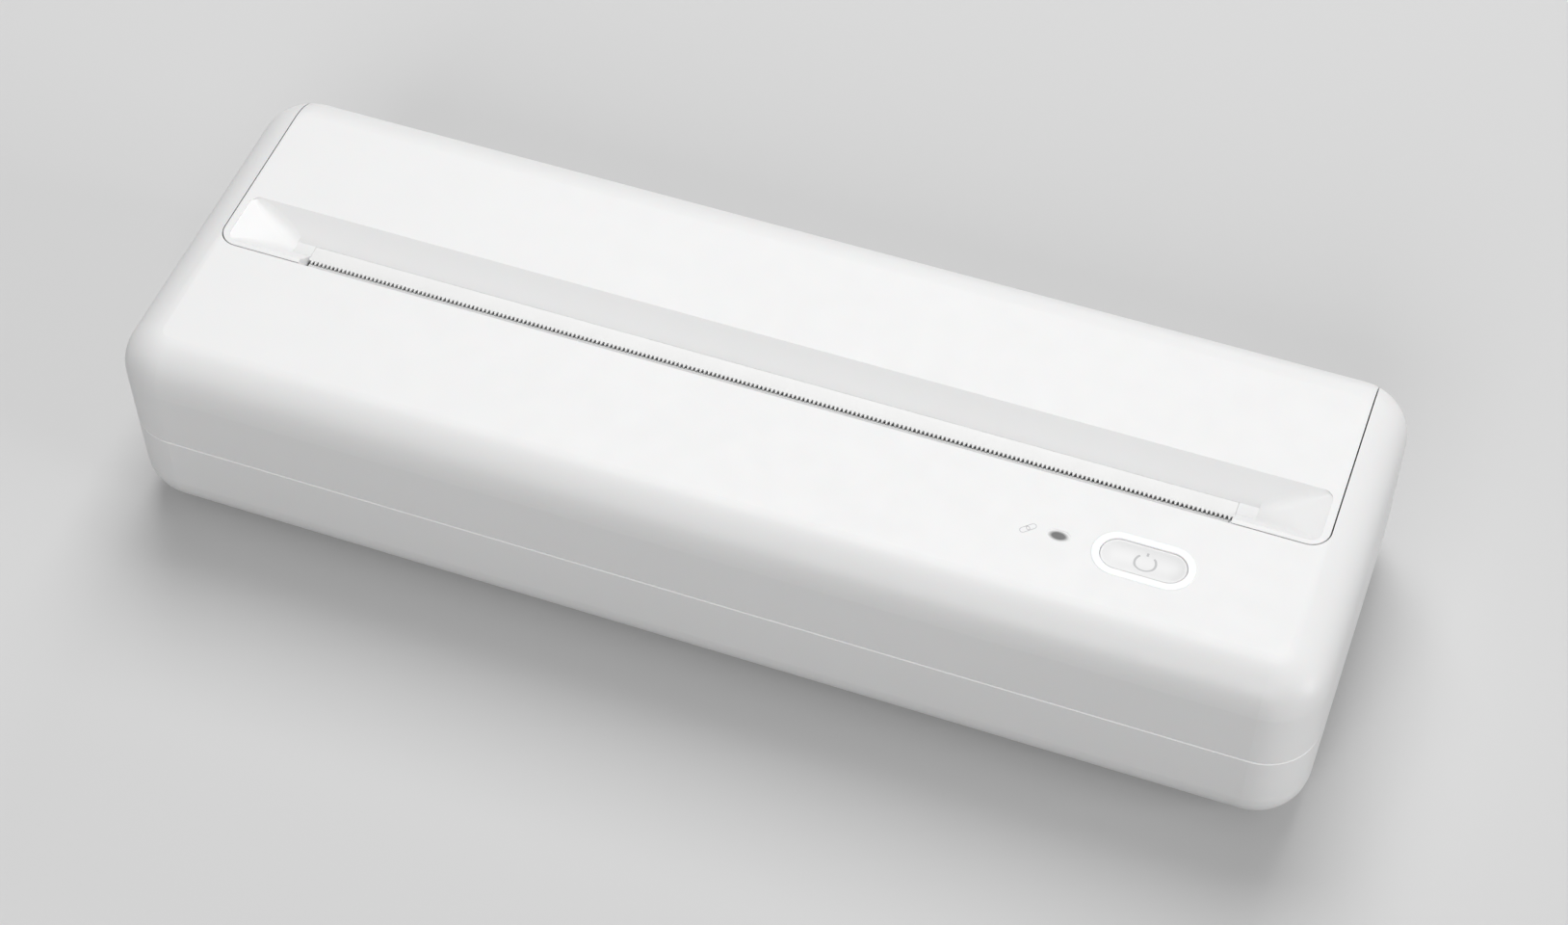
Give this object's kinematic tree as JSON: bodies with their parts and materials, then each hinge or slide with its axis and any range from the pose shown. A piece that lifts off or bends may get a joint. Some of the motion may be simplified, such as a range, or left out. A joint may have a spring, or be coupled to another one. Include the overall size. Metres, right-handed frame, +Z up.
{
  "type": "a4 portable thermal printer",
  "caption": "Flat round-edged portable thermal printer with a hinged top cover, full-width paper slot, tear bar, power button and drop-in roll bay.",
  "frame": {"origin": "centre of the footprint, on the table under the rubber feet", "axes": "+X along the length, towards the power button; -Y is the front; +Z up"},
  "size_m": [0.28, 0.094, 0.0531],
  "materials": {
    "white_shell": "satin moulded white",
    "white_inner": "moulded white, unpolished",
    "serrated_bar": "satin white",
    "button_white": "satin white",
    "ring_light": "milky light guide",
    "smoked_window": "smoked",
    "black_rubber": "ground rubber",
    "grey_rubber": "moulded rubber",
    "steel": "ground bar",
    "zinc_sheet": "zinc plated sheet",
    "aluminium": "anodised",
    "ceramic": "glazed ceramic",
    "gear_plastic": "acetal",
    "bush_plastic": "acetal",
    "brass": "turned",
    "cell_wrap": "shrink sleeve",
    "holder_black": "moulded",
    "board_green": "solder mask",
    "part_black": "moulded epoxy",
    "connector_cream": "nylon",
    "cable_white": "flat ribbon",
    "led_yellow": "clear resin"
  },
  "bodies": {
    "casing": {"lower_casing": "white_shell", "upper_casing": "white_shell", "motor_can": "zinc_sheet", "gear_posts": "steel", "hinge_pins": "steel", "head_springs": "steel", "head_cable": "cable_white", "cable_connector": "connector_cream", "left_side_frame": "zinc_sheet", "right_side_frame": "zinc_sheet", "cross_beam": "zinc_sheet", "paper_cradle": "white_inner", "paper_sensor": "part_black", "battery_cells": "cell_wrap", "battery_holder": "holder_black", "main_board": "board_green", "board_parts": "part_black", "board_screws": "steel", "usb_port": "steel", "button_ring": "ring_light", "switch_board": "board_green", "tactile_switch": "part_black", "status_led": "led_yellow", "light_pipe": "smoked_window", "rubber_feet": "grey_rubber", "casing_screws": "steel"},
    "cover": {"top_cover": "white_shell", "tear_bar": "serrated_bar", "platen_holder": "white_inner", "platen_bushes": "bush_plastic"},
    "platen": {"platen_roller": "black_rubber", "platen_shaft": "steel", "platen_gear": "gear_plastic"},
    "idler": {"idler_gear": "gear_plastic"},
    "compound": {"compound_gear": "gear_plastic"},
    "motor_rotor": {"motor_pinion": "brass", "motor_shaft": "steel"},
    "head": {"heat_sink": "aluminium", "print_head": "ceramic", "head_pivot_pins": "steel"},
    "button": {"power_button": "button_white"}
  },
  "joints": [
    {"name": "cover_hinge", "type": "hinge", "parent": "casing", "child": "cover", "pos_m": [0, 0.0442, 0.0316], "axis": [-1, 0, 0], "range_deg": [0, 95]},
    {"name": "platen_spin", "type": "hinge", "parent": "cover", "child": "platen", "pos_m": [0, 0.00365, 0.0414], "axis": [1, 0, 0], "continuous": true},
    {"name": "idler_spin", "type": "hinge", "parent": "casing", "child": "idler", "pos_m": [0, 0.00013, 0.02682], "axis": [1, 0, 0], "continuous": true},
    {"name": "compound_spin", "type": "hinge", "parent": "casing", "child": "compound", "pos_m": [0, -0.01243, 0.02274], "axis": [1, 0, 0], "continuous": true},
    {"name": "motor_spin", "type": "hinge", "parent": "casing", "child": "motor_rotor", "pos_m": [0, -0.0256, 0.02366], "axis": [1, 0, 0], "continuous": true},
    {"name": "head_pivot", "type": "hinge", "parent": "casing", "child": "head", "pos_m": [0, -0.0043, 0.02745], "axis": [1, 0, 0], "range_deg": [0, 1.5], "stiffness_Nm_per_rad": 2.5, "deforming": ["head_springs"]},
    {"name": "button_press", "type": "slide", "parent": "casing", "child": "button", "axis": [0, 0, -1], "range_m": [0, 0.0005], "stiffness_N_per_m": 1500}
  ],
  "couplings": [
    {"joint": "idler_spin", "follows": "platen_spin", "ratio": -0.66667},
    {"joint": "compound_spin", "follows": "platen_spin", "ratio": 1.4286},
    {"joint": "motor_spin", "follows": "platen_spin", "ratio": -3.8095}
  ]
}
